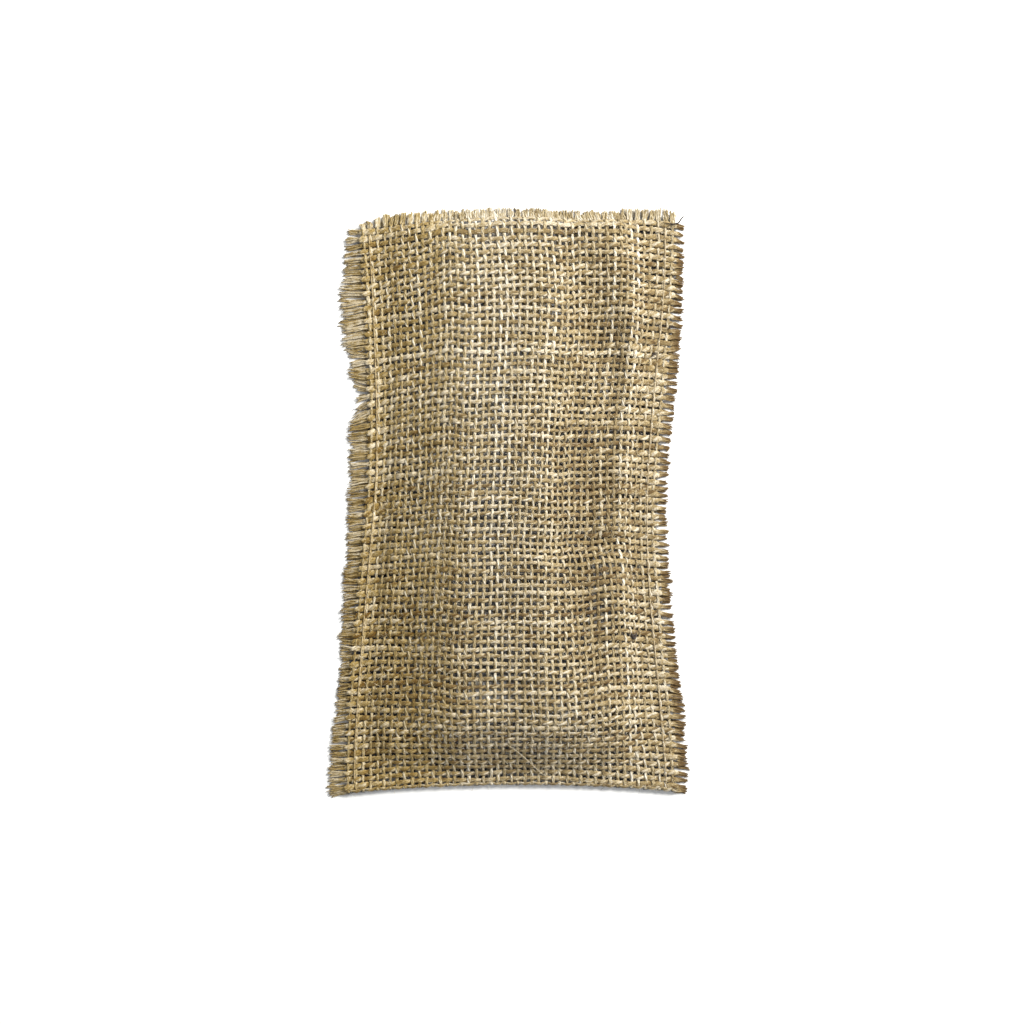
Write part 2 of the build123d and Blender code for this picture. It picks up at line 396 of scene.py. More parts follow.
class Yarns:
    """Collects tubes and makes them into one mesh piece."""

    def __init__(self):
        self.points = []
        self.quads = []
        self.caps = []
        self.fibre = []
        self.tone = []
        self.count = 0

    def add(self, path, up, half_width, half_thickness, tone, twist=900.0, sides=RING_SIDES):
        """One closed tube along path. up is the direction of its thin side."""
        n = len(path)
        side, top = cross_axes(path, up)
        length = length_along(path)
        angle = np.arange(sides) / sides * 2 * math.pi
        c = np.cos(angle)[None, :, None]
        s = np.sin(angle)[None, :, None]
        turn = angle[None, :] + length[:, None] * twist
        rough = rng.normal(0, ROUGH, turn.shape)
        lobe = (1 + OVAL * np.cos(2 * turn) + THREE_LOBES * np.cos(3 * turn + 1.0) + rough)[:, :, None]
        w = np.broadcast_to(half_width, (n,))[:, None, None]
        t = np.broadcast_to(half_thickness, (n,))[:, None, None]
        ring = path[:, None, :] + lobe * (w * c * side[:, None, :] + t * s * top[:, None, :])
        ring[:, :, 2] = np.maximum(ring[:, :, 2], 0.0)   # nothing reaches below the floor
        base = self.count
        self.points.append(ring.reshape(-1, 3))
        i = np.arange(n - 1)[:, None] * sides
        k = np.arange(sides)[None, :]
        k2 = (k + 1) % sides
        quads = np.stack([i + k, i + k2, i + sides + k2, i + sides + k], axis=2).reshape(-1, 4)
        self.quads.append(quads + base)
        self.caps.append(base + np.arange(sides)[::-1])
        self.caps.append(base + (n - 1) * sides + np.arange(sides))
        seed = rng.uniform(0, 50)
        along = np.broadcast_to(length[:, None] * FIBRE_PACE + seed, turn.shape)
        fibre = np.stack([np.cos(turn), np.sin(turn), along], axis=2)
        self.fibre.append(fibre.reshape(-1, 3))
        self.tone.append(np.repeat(np.broadcast_to(tone, (n,)), sides))
        self.count += n * sides

    def add_yarn(self, path, up, half_width, half_thickness, tone):
        """A yarn: strands loosely twisted round its middle line."""
        side, top = cross_axes(path, up)
        length = length_along(path)
        # the yarn's tone takes on the painted shade and painted light
        tone = tone + painted_shade_at(path)
        start = rng.uniform(0, 2 * math.pi)
        slow = loose_turn(length / TWIST_RUN, start * 7)
        for k in range(STRANDS):
            turn = start + k * 2 * math.pi / STRANDS + length * YARN_TWIST + TWIST_WANDER * slow
            spread = STRAND_OFFSET + OFFSET_CHANGE * loose_turn(length / OFFSET_RUN, start * 11 + k * 5)
            wide = (half_width * spread * np.cos(turn))[:, None]
            high = (half_thickness * STRAND_RISE * np.sin(turn))[:, None]
            strand = path + wide * side + high * top
            swell = 1 + STRAND_SWELL * loose_turn(length / SWELL_RUN + 50, start * 13 + k * 5)
            strand[:, 2] = np.maximum(strand[:, 2], half_thickness * FLOOR_CLEARANCE)
            wide, high = half_width * STRAND_WIDTH * swell, half_thickness * STRAND_THICKNESS * swell
            strand_tone = tone + STRAND_TONES[k] + rng.normal(0, TONE_SPREAD)
            self.add(strand, up, wide, high, strand_tone, twist=STRAND_TWIST)

    def make(self, name, material, slot, *nodes):
        """The mesh piece, which stands for the CAD nodes named."""
        mesh = bpy.data.meshes.new(name)
        points = np.concatenate(self.points)
        quads = np.concatenate(self.quads)
        loops = [quads.reshape(-1)]
        sizes = [np.full(len(quads), 4)]
        for cap in self.caps:
            loops.append(cap)
            sizes.append(np.array([len(cap)]))
        loops = np.concatenate(loops)
        sizes = np.concatenate(sizes)
        mesh.vertices.add(len(points))
        mesh.vertices.foreach_set("co", points.reshape(-1))
        mesh.loops.add(len(loops))
        mesh.loops.foreach_set("vertex_index", loops)
        mesh.polygons.add(len(sizes))
        starts = np.concatenate([[0], np.cumsum(sizes)[:-1]])
        mesh.polygons.foreach_set("loop_start", starts)
        mesh.polygons.foreach_set("use_smooth", np.ones(len(sizes), bool))
        mesh.update(calc_edges=True)
        fibre = mesh.attributes.new("fibre", "FLOAT_VECTOR", "POINT")
        fibre.data.foreach_set("vector", np.concatenate(self.fibre).reshape(-1))
        tone = mesh.attributes.new("tone", "FLOAT", "POINT")
        tone.data.foreach_set("value", np.concatenate(self.tone))
        mesh.validate()
        mesh.materials.append(material)
        piece = bpy.data.objects.new(name, mesh)
        bpy.context.scene.collection.objects.link(piece)
        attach(piece, "root")
        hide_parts(*nodes)
        return piece


# ---------------------------------------------------------------- materials

def node(tree, kind, **values):
    """A new shader node with its inputs or settings set by name."""
    made = tree.nodes.new(kind)
    for key, value in values.items():
        if key in made.inputs:
            made.inputs[key].default_value = value
        else:
            setattr(made, key, value)
    return made


STREAK_SCALE = 1.5            # in the fibre pattern
BLOTCH_SCALE = 420.0          # per metre
STREAK_SHARE = 0.9            # of the streaks in the tone
BLOTCH_SHARE = 0.6            # and of the blotches
DARK_AT = 0.50                # tones that take the dark, middle and pale colours
MIDDLE_AT = 0.74
PALE_AT = 1.02
GOLDEN_FROM = -6 * mm         # painted shade: the jute turns more golden from this x, towards the shaded left side
GOLDEN_TO = -30 * mm          # to this one
GREY_SATURATION = 0.92
GOLDEN_SATURATION = 1.10
ROUGHNESS = (0.62, 0.9)       # across the streaks
BUMP_DEPTH = 0.4 * mm


def jute(name, dark, middle, pale, bump):
    """Twisted jute: streaks along the fibre, a tone for each yarn and blotches along its length.

    Reads the point attributes fibre (place in the fibre pattern) and tone, which Yarns.make writes; the tone
    carries painted shade and painted light besides the yarns' own tone.
    """
    material = bpy.data.materials.new(name)
    material.use_nodes = True
    tree = material.node_tree
    shader = tree.nodes["Principled BSDF"]
    fibre = node(tree, "ShaderNodeAttribute", attribute_name="fibre")
    tone = node(tree, "ShaderNodeAttribute", attribute_name="tone")
    streak = node(tree, "ShaderNodeTexNoise", Scale=STREAK_SCALE, Detail=4.0, Roughness=0.68)
    blotch = node(tree, "ShaderNodeTexNoise", Scale=BLOTCH_SCALE, Detail=4.0, Roughness=0.65)
    where = node(tree, "ShaderNodeTexCoord")
    tree.links.new(fibre.outputs["Vector"], streak.inputs["Vector"])
    tree.links.new(where.outputs["Object"], blotch.inputs["Vector"])
    add = node(tree, "ShaderNodeMath", operation="MULTIPLY_ADD")
    add.inputs[1].default_value = STREAK_SHARE
    tree.links.new(streak.outputs["Fac"], add.inputs[0])
    tree.links.new(tone.outputs["Fac"], add.inputs[2])
    total = node(tree, "ShaderNodeMath", operation="MULTIPLY_ADD")
    total.inputs[1].default_value = BLOTCH_SHARE
    tree.links.new(blotch.outputs["Fac"], total.inputs[0])
    tree.links.new(add.outputs[0], total.inputs[2])
    ramp = node(tree, "ShaderNodeValToRGB")
    ramp.color_ramp.elements[0].position = DARK_AT
    ramp.color_ramp.elements[0].color = (*dark, 1)
    ramp.color_ramp.elements[1].position = PALE_AT
    ramp.color_ramp.elements[1].color = (*pale, 1)
    ramp.color_ramp.elements.new(MIDDLE_AT).color = (*middle, 1)
    tree.links.new(total.outputs[0], ramp.inputs["Fac"])
    # painted light and shade: a little greyer from the middle of the pouch to its right, where the light
    # falls, and more golden towards its left side, which lies in shade
    split = node(tree, "ShaderNodeSeparateXYZ")
    tree.links.new(where.outputs["Object"], split.inputs["Vector"])
    golden = node(tree, "ShaderNodeMapRange", interpolation_type="SMOOTHSTEP")
    golden.inputs["From Min"].default_value = GOLDEN_FROM
    golden.inputs["From Max"].default_value = GOLDEN_TO
    golden.inputs["To Min"].default_value = GREY_SATURATION
    golden.inputs["To Max"].default_value = GOLDEN_SATURATION
    tree.links.new(split.outputs["X"], golden.inputs["Value"])
    hue = node(tree, "ShaderNodeHueSaturation")
    tree.links.new(golden.outputs["Result"], hue.inputs["Saturation"])
    tree.links.new(ramp.outputs["Color"], hue.inputs["Color"])
    tree.links.new(hue.outputs["Color"], shader.inputs["Base Color"])
    rough = node(tree, "ShaderNodeMapRange")
    rough.inputs["To Min"].default_value = ROUGHNESS[0]
    rough.inputs["To Max"].default_value = ROUGHNESS[1]
    tree.links.new(streak.outputs["Fac"], rough.inputs["Value"])
    tree.links.new(rough.outputs["Result"], shader.inputs["Roughness"])
    relief = node(tree, "ShaderNodeBump", Strength=bump, Distance=BUMP_DEPTH)
    tree.links.new(streak.outputs["Fac"], relief.inputs["Height"])
    tree.links.new(relief.outputs["Normal"], shader.inputs["Normal"])
    shader.inputs["Specular IOR Level"].default_value = 0.15
    shader.inputs["Sheen Weight"].default_value = 0.15
    shader.inputs["Sheen Roughness"].default_value = 0.5
    return material


WARP_JUTE = jute("warp_jute", (0.15, 0.098, 0.032), (0.43, 0.332, 0.165), (0.79, 0.735, 0.615), bump=0.8)
WEFT_JUTE = jute("weft_jute", (0.13, 0.073, 0.018), (0.35, 0.254, 0.104), (0.68, 0.60, 0.455), bump=0.8)
# painted shade: the back panel's wefts take a darker, bluish grey copy of the weft jute, for the shade
# inside the pouch seen through the front's holes
SHADED_BACK_JUTE = jute("weft_jute_back_painted_shade", (0.036, 0.040, 0.050), (0.125, 0.128, 0.134), (0.38, 0.365, 0.34),
                 bump=0.8)
THREAD = jute("sewing_thread", (0.20, 0.14, 0.07), (0.42, 0.33, 0.19), (0.72, 0.63, 0.46), bump=0.4)
FIBRE = jute("loose_fibre", (0.035, 0.025, 0.02), (0.48, 0.38, 0.22), (0.88, 0.80, 0.62), bump=0.0)


# ---------------------------------------------------------------- shape of a yarn and its ends

lane_drift = Field()
pick_drift = Field()
thick_warp = Field(128)
thick_weft = Field(128)
EDGE_ACROSS = 0.35 / WARP_COUNT       # the outermost place across that a yarn's middle takes
SLOW_CHANGE = 9 * mm          # length over which a yarn's width changes
FAST_CHANGE = 2.2 * mm        # and over which it changes a little more
FAST_SHARE = 0.07
SLUB_LENGTH = 14 * mm
SLUBS_ABOVE = 0.55            # of the field: the rest of it makes the thick spots
SLUB_SHARE = 0.9
TONE_DRIFT = 0.04             # between yarns, by chance
FLATTENING = 0.3              # share of a yarn's width that its thickness follows


def yarn_width(field, index, length, mean, spread):
    """Width along a yarn, with a few slubs. Each yarn reads the field at places of its own."""
    slow = field(length / SLOW_CHANGE, index * 3.7)
    fast = field(length / FAST_CHANGE + 31, index * 5.3)
    slub = np.clip(field(length / SLUB_LENGTH + 77, index * 1.9) - SLUBS_ABOVE, 0, 1)
    return mean * (1 + spread * slow + FAST_SHARE * fast + SLUB_SHARE * slub)


def yarn_thickness(width):
    """Half thickness along a yarn of that half width."""
    return np.full(len(width), YARN_THICKNESS / 2) * (1 - FLATTENING + FLATTENING * width / width.mean())


STRETCHED = (4, -12, 17, 58)   # where the cloth is drawn open: middle x, y, reach across and along, mm


def slender(path, full, drawn):
    """Yarn width over its mean: full near the sides, drawn thinner where the cloth is stretched."""
    return full - drawn * mound(path[:, 0], path[:, 1], *STRETCHED)


STUB_REACH = np.array([[1.2], [0.6]])     # of the two added points, over two steps of the yarn
STUB_TAPER = np.array([0.45, 0.8])        # and how wide it still is there


def tapered(size):
    """A yarn's width or thickness, with two smaller values added at each end."""
    return np.concatenate([size[0] * STUB_TAPER, size, size[-1] * STUB_TAPER[::-1]])


def stub(path, up, width, thick):
    """Lengthens both ends of a yarn a little and narrows them, where it starts to come apart."""
    first = path[0] + (path[0] - path[2]) * STUB_REACH
    last = path[-1] + (path[-1] - path[-3]) * STUB_REACH[::-1]
    path = np.concatenate([first, path, last])
    up = np.concatenate([up[:1], up[:1], up, up[-1:], up[-1:]])
    return path, up, tapered(width), tapered(thick)


def outward(path, end, steps, level=False):
    """Direction in which a yarn leaves the cloth at its end, 0 or -1, level if asked."""
    inner = path[steps] if end == 0 else path[-1 - steps]
    direction = path[end] - inner
    if level:
        direction[2] = 0
    return direction / np.linalg.norm(direction)


STRAND_STEPS = 9
STRAND_ROOT = -0.08           # a loose strand starts this far inside the cloth, over its length
SHORTER_BY = 0.22             # the most of the reach that a strand may lack
BUNDLED = 0.62                # how far apart the strands start, over the width given
STRAND_RADII = (0.20 * mm, 0.31 * mm)
TIP_TAPER = 0.30              # share of the radius lost at a tip
TIP_DRIFT = 0.13              # mm that a tip strays to a side, by chance
TIP_CURVE = 1.4               # how late the spread and lean set in
STRAND_WAVE = 0.12 * mm
SINKS_BY = 1.25               # over the length: a strand is down before its tip
HEIGHT_DRIFT = 0.16           # mm
STRAND_DRIFT = 0.06           # of tone, by chance


def frayed_end(group, root, direction, reach, width, strands, spread, lean, rest_z, tone, tip_tone):
    """The strands of one loose yarn end, fanning out a little and sinking to rest_z."""
    sideways = np.cross(direction, (0, 0, 1.0))
    sideways /= np.linalg.norm(sideways)
    t = np.linspace(STRAND_ROOT, 1, STRAND_STEPS)
    out = np.clip(t, 0, 1)
    for place in np.linspace(-0.5, 0.5, strands):
        length = reach * (1 - SHORTER_BY * rng.uniform() ** 1.5)
        fan = place * spread + rng.normal(0, TIP_DRIFT) * mm
        wave = STRAND_WAVE * np.sin(t * rng.uniform(4, 9) + rng.uniform(0, 6))
        across = place * width * BUNDLED + (fan + lean) * out ** TIP_CURVE + wave
        run = root + direction * (length * t)[:, None] + sideways * across[:, None]
        sink = np.clip(t * SINKS_BY, 0, 1)
        run[:, 2] = root[2] + (rest_z - root[2]) * sink + rng.uniform(-HEIGHT_DRIFT, HEIGHT_DRIFT) * mm
        radius = rng.uniform(*STRAND_RADII) * (1 - TIP_TAPER * out ** 6)
        run[:, 2] = np.maximum(run[:, 2], radius)
        up = np.tile((0.0, 0.0, 1.0), (STRAND_STEPS, 1))
        # the tone takes on the painted shade and painted light as well
        shade = tone + painted_shade_at(run) + rng.normal(0, STRAND_DRIFT) + tip_tone * out ** 1.3
        group.add(run, up, radius, radius, shade, twist=1500.0, sides=5)


# ---------------------------------------------------------------- warps

WARP_PIECES = 6
WARP_WANDER = 0.16            # of a warp from its place, in slow waves, over the space between two
WARP_JITTER = 0.10            # and in quick ones
WARP_UNEVEN = 0.16            # spread of its width
WARP_FULL = 1.04              # its width over the mean, and what it loses where it is stretched
WARP_DRAWN = 0.14
FLAT_TOPS = 0.8               # below 1, a warp stays longer at the height of its swing
WEFT_PITCH = 2.45 * mm
CLOTH_WIDTH = 115 * mm        # between the side edges, without the loose ends
MOUTH_STRANDS = 5
MOUTH_BUNDLE = 2.1 * mm       # width of a loose warp end where it leaves the cloth
MOUTH_FAN = 0.1 * mm          # how much wider its tips spread
MOUTH_LEAN = 0.28             # mm that it leans to a side, by chance
MOUTH_END_TONE = 0.05
MOUTH_TIP_TONE = -0.10
CORNER_REACH = 0.45           # of the first warp's end over the others: the left corner is worn
SINK = 0.1 * mm               # how far its tips drop
EDGE_WARPS = 6                # the warps near a side are thinner by up to EDGE_THINNER
EDGE_THINNER = 0.20
INSIDE_PAINTED_SHADE = -0.16           # painted shade: the back panel's warps are darker, from just past the fold, for the shade inside the pouch
INSIDE_RUN = 3                # wefts
WARP_TONES = 0.07             # change of tone along a warp


def warp_across(i, pick):
    """Where warp i lies across the cloth, wandering a little along its length."""
    centre = (i + 0.5) / WARP_COUNT
    slow = lane_drift(i * 0.35 + 3, pick / 9)
    quick = lane_drift(i * 1.7 + 40, pick / 3.5)
    wander = WARP_WANDER * slow + WARP_JITTER * quick
    return np.clip(centre + wander / WARP_COUNT, EDGE_ACROSS, 1 - EDGE_ACROSS)


def make_warps():
    """Every warp from the mouth round the fold to the mouth, with both its loose ends."""
    groups = [Yarns() for _ in range(WARP_PIECES)]
    for i in range(WARP_COUNT):
        pick = np.linspace(0, ALL_WEFTS, ALL_WEFTS * SAMPLES_PER_CROSSING + 1)
        across = warp_across(i, pick)
        point, up = on_cloth(across, pick)
        swing = np.cos(math.pi * (pick - 0.5))
        swing = np.sign(swing) * np.abs(swing) ** FLAT_TOPS
        path = point + up * (CRIMP * (-1) ** i * swing)[:, None]
        length = pick * WEFT_PITCH
        width = yarn_width(thick_warp, i, length, WARP_WIDTH, WARP_UNEVEN) / 2
        width = width * slender(path, WARP_FULL, WARP_DRAWN)
        from_side = min(i, WARP_COUNT - 1 - i)
        width = width * (1 - EDGE_THINNER * math.exp(-(from_side / EDGE_WARPS) ** 2))
        thick = yarn_thickness(width)
        group = groups[i * WARP_PIECES // WARP_COUNT]
        drift = TONE_DRIFT * rng.standard_normal()
        for end, rest in ((0, path[0, 2] - SINK), (-1, BACK_MIDDLE - SINK)):
            direction = outward(path, end, 6)
            reach = MOUTH_FRINGE * (1 + 0.10 * rng.standard_normal()) * min(1, CORNER_REACH + 0.2 * i)
            lean = rng.normal(0, MOUTH_LEAN) * mm
            frayed_end(group, path[end], direction, reach, MOUTH_BUNDLE, MOUTH_STRANDS, MOUTH_FAN,
                       lean, rest, drift + MOUTH_END_TONE, MOUTH_TIP_TONE)
        path, up, width, thick = stub(path, up, width, thick)
        tone = drift + WARP_TONES * thick_warp(np.arange(len(path)) / 14, i)
        inside = np.clip((np.linspace(0, ALL_WEFTS, len(path)) - FRONT_WEFTS) / INSIDE_RUN, 0, 1)
        # painted shade on the back panel's warps, inside the pouch
        tone = tone + INSIDE_PAINTED_SHADE * inside
        group.add_yarn(path, up, width, thick, tone)
    return [group.make(f"warp_yarns_{k + 1}", WARP_JUTE, "jute_warp_ends",
                       "bottom_fold", "mouth_fringe_front", "mouth_fringe_back")
            for k, group in enumerate(groups)]


# ---------------------------------------------------------------- wefts

clump = Field()
SLIT_Y = 55.0 * mm            # where the left fringe parts
SLIT_PUSH = -0.8 * mm
SLIT_REACH = 2.5 * mm
NOTCH_Y = 36.5 * mm           # and where its ends fan away from each other
NOTCH_PUSHES = (              # place from the notch, reach and push along Y
    (5.5 * mm, 4 * mm, 2.1 * mm),
    (-5 * mm, 4.5 * mm, -1.7 * mm),
)
WEFT_PIECES = 4               # on each side, from the mouth to the fold
WEFT_WANDER = 0.20            # of a weft from its place, as for the warps
WEFT_JITTER = 0.13
WEFT_UNEVEN = 0.17
WEFT_FULL = 1.15
WEFT_DRAWN = 0.25
WEFT_TONES = 0.08
WEFT_BUNDLE = WEFT_WIDTH * 1.1   # width of a loose weft end where it leaves the cloth
SIDE_STRANDS = 4
LEFT_FAN = 0.45 * mm          # the left ends spread towards their tips
RIGHT_FAN = -0.28 * mm        # and the right ones draw together
LEFT_TIP_TONE = -0.04
RIGHT_TIP_TONE = -0.46
# painted light: the left loose ends are made paler, as lit where they lie flat
LEFT_END_PAINTED_LIGHT = 0.05
FRONT_END_HEIGHT = 0.75 * mm  # of the front layer's loose tips over the floor
BACK_END_HEIGHT = 0.35 * mm
SIDE_WIDER = 0.30             # wefts open out by this much at the sides
SIDE_REACH = 0.09             # over this share of the cloth


def weft_pick(j, across):
    """Where weft j lies along the cloth, in picks."""
    slow = pick_drift(across * 5 + 2, j * 0.30)
    quick = pick_drift(across * 14 + 30, j * 0.9)
    wave = WEFT_WANDER * slow + WEFT_JITTER * quick
    return j + 0.5 + wave


def left_lean(y):
    """How far the left ends are pushed along Y beside the slit and the notch."""
    lean = 0
    for place, reach, push in NOTCH_PUSHES:
        lean += push * math.exp(-((y - NOTCH_Y - place) / reach) ** 2)
    if y < SLIT_Y:
        lean += SLIT_PUSH * math.exp(-((SLIT_Y - y) / SLIT_REACH) ** 2)
    return lean


def weft_group(fronts, backs, j):
    """The Yarns that weft j goes to: four on the front, four on the back, from the mouth down."""
    if j < FRONT_WEFTS + 1:
        return fronts[min(j * WEFT_PIECES // FRONT_WEFTS, WEFT_PIECES - 1)]
    from_mouth = ALL_WEFTS - 1 - j
    return backs[min(from_mouth * WEFT_PIECES // BACK_WEFTS, WEFT_PIECES - 1)]


def make_wefts():
    """Every weft, row by row, with its loose ends at both sides."""
    front_groups = [Yarns() for _ in range(WEFT_PIECES)]
    back_groups = [Yarns() for _ in range(WEFT_PIECES)]
    back_ends = Yarns()
    for j in range(ALL_WEFTS):
        front = j < FRONT_WEFTS + 1
        across = np.linspace(EDGE_ACROSS, 1 - EDGE_ACROSS, WARP_COUNT * SAMPLES_PER_CROSSING + 1)
        pick = weft_pick(j, across)
        point, up = on_cloth(across, pick)
        column = across * WARP_COUNT - 0.5
        swing = -np.cos(math.pi * column) * (-1) ** j
        path = point + up * (CRIMP * swing)[:, None]
        length = across * CLOTH_WIDTH
        width = yarn_width(thick_weft, j, length, WEFT_WIDTH, WEFT_UNEVEN) / 2
        width = width * slender(path, WEFT_FULL, WEFT_DRAWN)
        from_edge = np.minimum(across, 1 - across)
        width = width * (1 + SIDE_WIDER * np.exp(-(from_edge / SIDE_REACH) ** 2))
        thick = yarn_thickness(width)
        group = weft_group(front_groups, back_groups, j)
        drift = TONE_DRIFT * rng.standard_normal()
        for end, reaches, fan, tip_tone in ((0, LEFT_FRINGE_AT, LEFT_FAN, LEFT_TIP_TONE),
                                            (-1, RIGHT_FRINGE_AT, RIGHT_FAN, RIGHT_TIP_TONE)):
            direction = outward(path, end, 8, level=True)
            places, lengths = zip(*reaches)
            reach = np.interp(path[end, 1] / mm, places, lengths) * mm
            reach *= 1 + 0.06 * rng.standard_normal() + 0.08 * clump(j * 0.33, 5 * end)
            lean = (0.7 * clump(j * 0.45 + 20, 9 + 5 * end) + 0.22 * rng.standard_normal()) * mm
            rest = (FRONT_END_HEIGHT if front else BACK_END_HEIGHT) + 0.15 * rng.uniform(-1, 1) * mm
            lit = drift
            if end == 0:
                lean += left_lean(path[end, 1])
                lit += LEFT_END_PAINTED_LIGHT
            frayed_end(group if front else back_ends, path[end], direction, reach, WEFT_BUNDLE, SIDE_STRANDS,
                       fan, lean, rest, lit, tip_tone)
        path, up, width, thick = stub(path, up, width, thick)
        tone = drift + WEFT_TONES * thick_weft(np.arange(len(path)) / 11, j)
        group.add_yarn(path, up, width, thick, tone)
    fronts = [group.make(f"weft_yarns_front_{k + 1}", WEFT_JUTE, "jute_cloth",
                         "front_panel", "left_fringe_front", "right_fringe_front")
              for k, group in enumerate(front_groups)]
    backs = [group.make(f"weft_yarns_back_{k + 1}", SHADED_BACK_JUTE, "jute_cloth",
                        "back_panel", "left_fringe_back", "right_fringe_back")
             for k, group in enumerate(back_groups)]
    ends = back_ends.make("weft_ends_back", WEFT_JUTE, "jute_weft_ends",
                          "left_fringe_back", "right_fringe_back")
    return fronts, backs, ends


# ---------------------------------------------------------------- side seams

STITCH = 3.6 * mm
THREAD_RADIUS = 0.24 * mm
SEAM_SAMPLES = 1100
SEAM_WANDER = 0.12 * mm       # to either side, once in every 2 pi SEAM_SWAY
SEAM_SWAY = 11 * mm
STITCH_DIP = 0.25 * mm        # below the middle of the cloth, at a needle hole
THREAD_SUNK = 0.05 * mm       # how far the thread presses into the yarns
THREAD_TONE = -0.06
STEEPNESS = 7                 # the thread is up a seventh of a stitch away from a hole
LEFT_SEAM = 0.028             # places across the cloth, from its edge
RIGHT_SEAM = 0.032


def seam(across_inset, side, face):
    """One thread of a lockstitch: along one face of the cloth, dipping in at every hole."""
    count = FRONT_WEFTS if face == "front" else BACK_WEFTS
    start = 0 if face == "front" else FRONT_WEFTS + FOLD_WEFTS
    pick = np.linspace(start + 1, start + count - 1, SEAM_SAMPLES)
    across = across_inset if side == "left" else 1 - across_inset
    point, up = on_cloth(np.full_like(pick, across), pick)
    length = length_along(point)
    phase = (length / STITCH) % 1.0
    lift = np.clip(np.minimum(phase, 1 - phase) * STEEPNESS, 0, 1)
    lift = lift * lift * (3 - 2 * lift)
    top = CRIMP + YARN_THICKNESS / 2 - THREAD_SUNK
    path = point + up * (top * lift - STITCH_DIP * (1 - lift))[:, None]
    path[:, 0] += SEAM_WANDER * np.sin(length / SEAM_SWAY)
    path[:, 2] = np.maximum(path[:, 2], THREAD_RADIUS)
    return path, up


def make_seams():
    """Needle thread on the front and bobbin thread on the back, at both sides."""
    for side, inset in (("left", LEFT_SEAM), ("right", RIGHT_SEAM)):
        for face, thread in (("front", "needle"), ("back", "bobbin")):
            yarn = Yarns()
            path, up = seam(inset, side, face)
            yarn.add(path, up, THREAD_RADIUS, THREAD_RADIUS, THREAD_TONE, twist=2600.0, sides=6)
            yarn.make(f"{side}_{thread}_stitches", THREAD, "sewing_thread", f"{side}_{thread}_thread")


# ---------------------------------------------------------------- loose fibres

def curl(start, direction, length, bend, steps):
    """A thin fibre that bends a little at every step."""
    points = [np.array(start, float)]
    direction = np.array(direction, float)
    turn = rng.normal(0, bend, 3)
    for _ in range(steps):
        direction = direction + turn + rng.normal(0, bend * 0.5, 3)
        direction /= np.linalg.norm(direction)
        points.append(points[-1] + direction * length / steps)
    return np.array(points)


FRONT_FIBRES = 9500
BACK_FIBRES = 2500
FIBRE_RADII = (0.022 * mm, 0.045 * mm)
FIBRE_TONES = (-0.15, 0.3)
FIBRE_BEND = 0.3
FIBRE_STEPS = 3
SHORTEST_FIBRE = 0.8          # mm
LONGER_BY = 2.6               # mm, at most
STANDS_OFF = (-0.1, 0.35)     # how far a fibre turns away from the cloth
CLEAR_OF_ENDS = 0.3           # wefts


def make_fuzz(name, first, last, count, *nodes):
    """Short fibres that stand off the yarns or lie over them."""
    fuzz = Yarns()
    pick = rng.uniform(first, last, count)
    across = rng.uniform(0.004, 0.996, count)
    point, up = on_cloth(across, pick)
    for k in range(count):
        flat = rng.normal(0, 1, 3)
        direction = flat - up[k] * np.dot(flat, up[k]) + up[k] * rng.uniform(*STANDS_OFF)
        start = point[k] + up[k] * (CRIMP + YARN_THICKNESS * rng.uniform(0.1, 0.5))
        reach = (SHORTEST_FIBRE + LONGER_BY * rng.uniform() ** 2) * mm
        path = curl(start, direction / np.linalg.norm(direction), reach, FIBRE_BEND, FIBRE_STEPS)
        radius = rng.uniform(*FIBRE_RADII)
        path[:, 2] = np.maximum(path[:, 2], radius)
        tone = rng.uniform(*FIBRE_TONES)
        fuzz.add(path, np.repeat(up[k:k + 1], len(path), 0), radius, radius, tone, sides=3)
    return fuzz.make(name, FIBRE, "jute_cloth", *nodes)


# Single fibres and dark specks that lie over the pouch: points in mm, radius in mm and tone
STRAYS = (
    (((-1.6, -83.5), (3, -86.5), (8, -91), (12, -95.2), (15.6, -97.1)), 0.09, 0.12),
    (((-55.4, 29.6), (-53.2, 32.2), (-51.0, 31.2), (-49.2, 33.0), (-47.0, 31.4)), 0.11, -0.6),
    (((54.5, 97.2), (57.6, 96.4), (60.0, 96.8), (61.0, 98.4), (62.3, 99.9)), 0.26, -0.5),
    (((2.6, 98.6), (3.0, 100.4), (2.8, 102.2)), 0.30, -0.8),
    (((43.2, -45.9), (44.3, -48.2), (45.4, -46.0)), 0.55, -1.5),
    (((50.6, 50.0), (51.4, 51.4), (52.2, 50.6)), 0.30, -1.2),
    (((56.4, 60.0), (57.6, 60.8), (59.0, 60.4)), 0.36, -0.5),
)


STRAY_SMOOTHING = 6
THIN_STRAY = 0.2              # mm: a thicker one is raised, so that it isn't lost between the yarns


def make_strays():
    """The single fibres, laid just over the front."""
    stray = Yarns()
    for points, radius, tone in STRAYS:
        points = np.array(points) * mm
        t = np.linspace(0, len(points) - 1, 8 * len(points))
        x = np.interp(t, np.arange(len(points)), points[:, 0])
        y = np.interp(t, np.arange(len(points)), points[:, 1])
        z = front_height(x, y) + CRIMP + YARN_THICKNESS * 0.9 + max(radius - THIN_STRAY, 0) * 2.5 * mm
        path = np.stack([x, y, z], axis=1)
        for _ in range(STRAY_SMOOTHING):
            path[1:-1] = (path[1:-1] * 2 + path[:-2] + path[2:]) / 4
        up = np.tile((0.0, 0.0, 1.0), (len(path), 1))
        taper = radius * mm * np.clip(1.2 - np.abs(np.linspace(-1.1, 1.1, len(path))) ** 3, 0.3, 1)
        stray.add(path, up, taper, taper, tone, twist=2000.0, sides=5)
    return stray.make("stray_fibres", FIBRE, "jute_cloth", "front_panel")


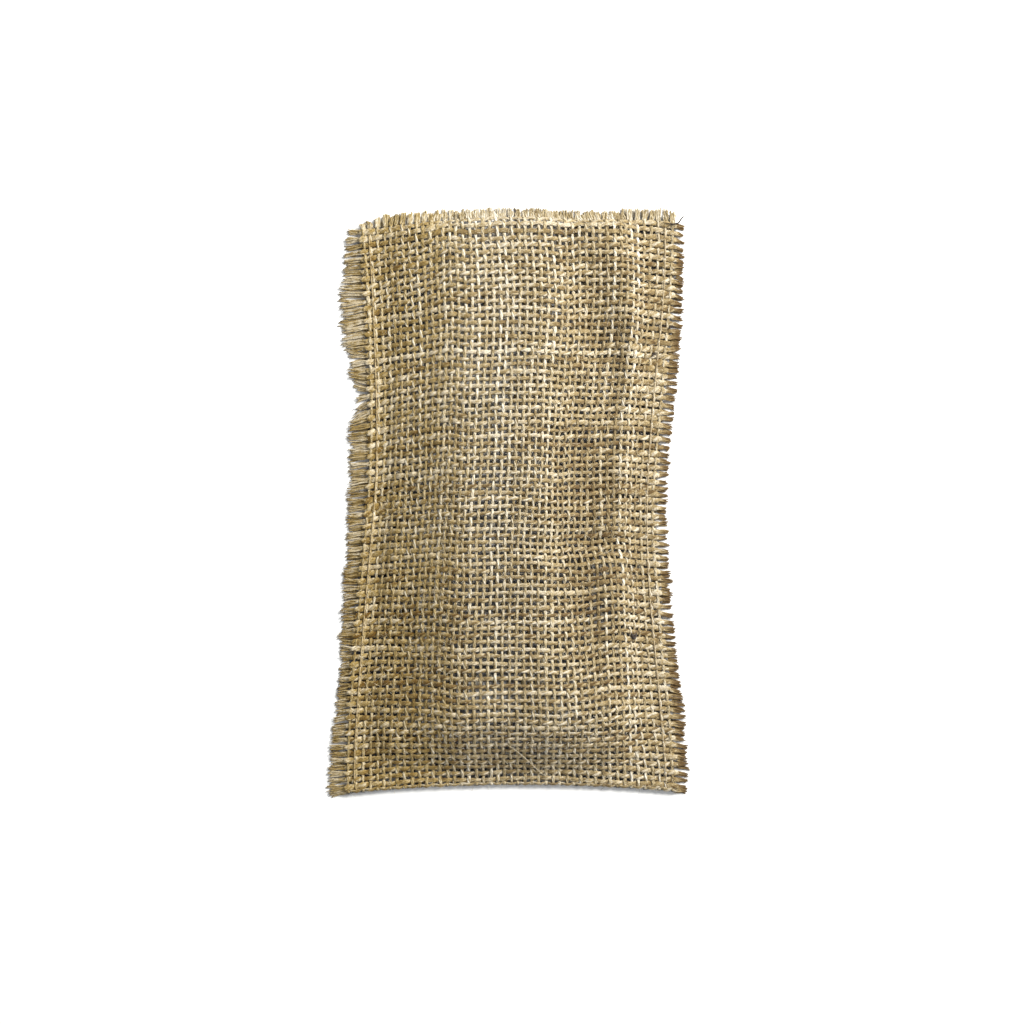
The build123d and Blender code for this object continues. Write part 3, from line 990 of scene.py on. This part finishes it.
warps = make_warps()
fronts, backs, back_ends = make_wefts()
make_seams()
strays = make_strays()
fuzz = make_fuzz("loose_fibres_front", CLEAR_OF_ENDS, FRONT_WEFTS, FRONT_FIBRES, "front_panel")
back_fuzz = make_fuzz("loose_fibres_back", FRONT_WEFTS, ALL_WEFTS - CLEAR_OF_ENDS, BACK_FIBRES, "back_panel")


# ---------------------------------------------------------------- floor, light and camera

FLOOR_COLOUR = (0.93, 0.93, 0.93, 1)
FLOOR_HALF_WIDTH = 2.0


def make_floor():
    """A plain white surface, level with the underside of the pouch."""
    mesh = bpy.data.meshes.new("floor")
    half = FLOOR_HALF_WIDTH
    corners = [(-half, -half, 0), (half, -half, 0), (half, half, 0), (-half, half, 0)]
    mesh.from_pydata(corners, [], [(0, 1, 2, 3)])
    floor = bpy.data.objects.new("floor", mesh)
    bpy.context.scene.collection.objects.link(floor)
    material = bpy.data.materials.new("white_floor")
    material.use_nodes = True
    shader = material.node_tree.nodes["Principled BSDF"]
    shader.inputs["Base Color"].default_value = FLOOR_COLOUR
    shader.inputs["Roughness"].default_value = 0.9
    shader.inputs["Specular IOR Level"].default_value = 0.1
    mesh.materials.append(material)


def area_light(name, place, target, size, power, colour):
    """A round soft light that faces target."""
    lamp = bpy.data.lights.new(name, "AREA")
    lamp.shape = "DISK"
    lamp.size = size
    lamp.energy = power
    lamp.color = colour
    light = bpy.data.objects.new(name, lamp)
    light.location = place
    light.rotation_euler = (Vector(target) - Vector(place)).to_track_quat("-Z", "Y").to_euler()
    bpy.context.scene.collection.objects.link(light)


KEY_PLACE = (0.545, 0.455, 0.600)
KEY_SIZE = 0.46
KEY_WATTS = 17.0
KEY_COLOUR = (1.0, 0.985, 0.94)
WORLD_COLOUR = (0.96, 0.98, 1.0, 1)
WORLD_STRENGTH = 0.50


def make_light():
    """One soft key from the upper right, filled by an even pale world."""
    area_light("key", KEY_PLACE, (0, 0, 0), KEY_SIZE, KEY_WATTS, KEY_COLOUR)
    world = bpy.data.worlds.new("studio")
    world.use_nodes = True
    background = world.node_tree.nodes["Background"]
    background.inputs["Color"].default_value = WORLD_COLOUR
    background.inputs["Strength"].default_value = WORLD_STRENGTH
    bpy.context.scene.world = world


VIEW_HEIGHT = 0.3584          # of the picture, at the level of the floor
CAMERA_HEIGHT = 1.15
SENSOR = 36.0                 # millimetres
VIEW_CENTRE = (1.9 * mm, -4.0 * mm)


def make_camera():
    """Straight above the pouch, with the mouth at the top of the picture."""
    lens = bpy.data.cameras.new("camera")
    lens.sensor_width = SENSOR
    lens.lens = SENSOR * CAMERA_HEIGHT / VIEW_HEIGHT
    lens.clip_start = 0.01
    lens.clip_end = 20.0
    camera = bpy.data.objects.new("camera", lens)
    camera.location = (*VIEW_CENTRE, CAMERA_HEIGHT)
    bpy.context.scene.collection.objects.link(camera)
    bpy.context.scene.camera = camera


make_floor()
make_light()
make_camera()
bpy.context.scene.view_settings.view_transform = "Standard"

bpy.context.view_layer.update()
